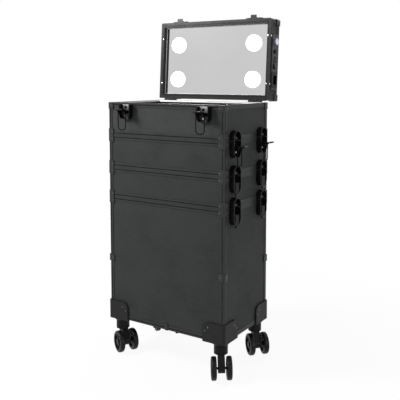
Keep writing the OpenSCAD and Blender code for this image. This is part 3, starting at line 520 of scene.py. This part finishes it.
def edge_clips():
    """Small clips over the profiles half way up the trolley section and under its front and back."""
    bm = bmesh.new()
    low, high = CLIP_Z - CLIP_HALF, CLIP_Z + CLIP_HALF
    for sx in (-1, 1):
        for sy in (-1, 1):
            x, y = sx * HALF_W, sy * HALF_D
            a, b = sorted((x + sx * CLIP_OUT, x - sx * CLIP_REACH))
            c, d = sorted((y + sy * CLIP_OUT, y + sy * SEAT))
            slab(bm, (a, c, low), (b, d, high), 0.3)
            a, b = sorted((x + sx * CLIP_OUT, x + sx * SEAT))
            c, d = sorted((y + sy * CLIP_OUT, y - sy * CLIP_REACH))
            slab(bm, (a, c, low), (b, d, high), 0.3)
    left, right = UNDER_CLIP
    for sy in (-1, 1):
        c, d = sorted((sy * (HALF_D + CLIP_OUT), sy * (HALF_D + SEAT)))
        slab(bm, (left, c, GROUND - 0.9), (right, d, GROUND + 17), 0.3)
        c, d = sorted((sy * (HALF_D + CLIP_OUT), sy * (HALF_D - 9)))
        slab(bm, (left, c, GROUND - 0.9), (right, d, GROUND + 0.12), 0.3)
    piece("edge_clips", bm, cap, "case", smooth=30)
    bm = bmesh.new()
    out = CLIP_OUT - SEAT
    for sx in (-1, 1):
        for sy in (-1, 1):
            lathe(bm, HEAD, (sx * (HALF_W - 11), sy * (HALF_D + out), CLIP_Z), "Y", 24, flip=sy < 0)
            lathe(bm, HEAD, (sx * (HALF_W + out), sy * (HALF_D - 11), CLIP_Z), "X", 24, flip=sx < 0)
    piece("clip_rivets", bm, rivet, "case", smooth=35)


def lock_plates():
    """The steel plate in the upper part of each front latch's dish, with its round hole and its slot drawn as
    black pieces: painted shade.
    """
    face = -HALF_D - DISH
    for side, x in LOCK_X:
        bm = bmesh.new()
        slab(bm, (x - 14.6, face - 0.5, RIM - 21.5), (x - 7.6, face - 0.01, RIM - 4.4), 0.15)
        slab(bm, (x - 7.6, face - 0.5, RIM - 19.5), (x + 14.6, face - 0.01, RIM - 4.4), 0.15)
        piece("lock_plate_" + side, bm, lock_plate, "case", smooth=30)
        # The hole and the slot are black gloss pieces on the plate, standing in for their shade: painted
        # shade
        bm = bmesh.new()
        lathe(bm, [(3.6, 0.0), (3.6, 0.45), (3.2, 0.6), (2.7, 0.6), (2.6, 0.1), (0.02, 0.1)],
              (x - 3.0, face - 0.48, RIM - 12.0), "Y", 28, flip=True)
        slab(bm, (x - 13.5, face - 0.75, RIM - 20.6), (x - 8.4, face - 0.48, RIM - 17.4), 0.1)
        piece("lock_" + side, bm, gloss, "case", smooth=35)


mirror_edge()
lid_screws()
top_lining()
edge_clips()
lock_plates()


def ease(name, width, segments=2):
    """Rounds a CAD node's sharp edges a little, so that they catch the light."""
    m = nodes[name].modifiers.new("ease", "BEVEL")
    m.width = width * MM
    m.segments = segments
    m.limit_method = "ANGLE"
    m.angle_limit = math.radians(50)


for n in ("edge_profiles", "lid_profiles"):
    ease(n, 0.35)
for n in ("corner_caps", "lid_corner_caps"):
    ease(n, 0.3)
ease("corner_brackets", 0.6)


# ---- Floor, world and lights ----

def floor():
    """A wide pale floor, just under the wheels."""
    bm = bmesh.new()
    bmesh.ops.create_grid(bm, x_segments=8, y_segments=8, size=14.0)
    me = bpy.data.meshes.new("floor")
    bm.to_mesh(me)
    bm.free()
    o = bpy.data.objects.new("floor", me)
    o.location = (0, 0, -0.0004)
    bpy.context.scene.collection.objects.link(o)
    m, t, p = material("floor_white", (0.93, 0.93, 0.93), 0.7, specular=0.2)
    # The shadow shows near the case only; further out the floor is as white as the backdrop
    far = t.add("ShaderNodeVectorMath", operation="LENGTH")
    t.join(coords(t), far.inputs[0])
    level = remap(t, far.outputs["Value"], 0.93, 1.0, 0.35, 1.1)
    share = math_node(t, "MULTIPLY", seen_directly(t), level)
    glow = t.add("ShaderNodeEmission")
    glow.inputs["Strength"].default_value = 1.0
    out = [n for n in m.node_tree.nodes if n.type == "OUTPUT_MATERIAL"][0]
    t.join(mix_shaders(t, share, p.outputs[0], glow.outputs[0]), out.inputs[0])
    me.materials.append(m)


floor()

world = bpy.data.worlds.new("studio")
world.use_nodes = True
bpy.context.scene.world = world
w = Tree(world.node_tree)


def background(strength):
    n = w.add("ShaderNodeBackground")
    n.inputs["Color"].default_value = (1, 1, 1, 1)
    n.inputs["Strength"].default_value = strength
    return n.outputs[0]


out = w.add("ShaderNodeOutputWorld")
w.join(mix_shaders(w, seen_directly(w), background(0.24), background(1.0)), out.inputs[0])


def area(name, at, to, size, power):
    light = bpy.data.lights.new(name, "AREA")
    light.shape = "DISK"
    light.size = size
    light.energy = power
    o = bpy.data.objects.new(name, light)
    o.location = at
    o.rotation_euler = (Vector(to) - Vector(at)).to_track_quat("-Z", "Y").to_euler()
    bpy.context.scene.collection.objects.link(o)


area("key", (-1.0, -0.95, 1.45), (-0.05, 0, 0.5), 0.5, 33.0)
area("fill", (2.3, -0.7, 0.7), (0, 0, 0.2), 1.2, 13.0)
area("back", (0.6, 2.2, 1.9), (0, 0, 0.5), 1.4, 24.0)
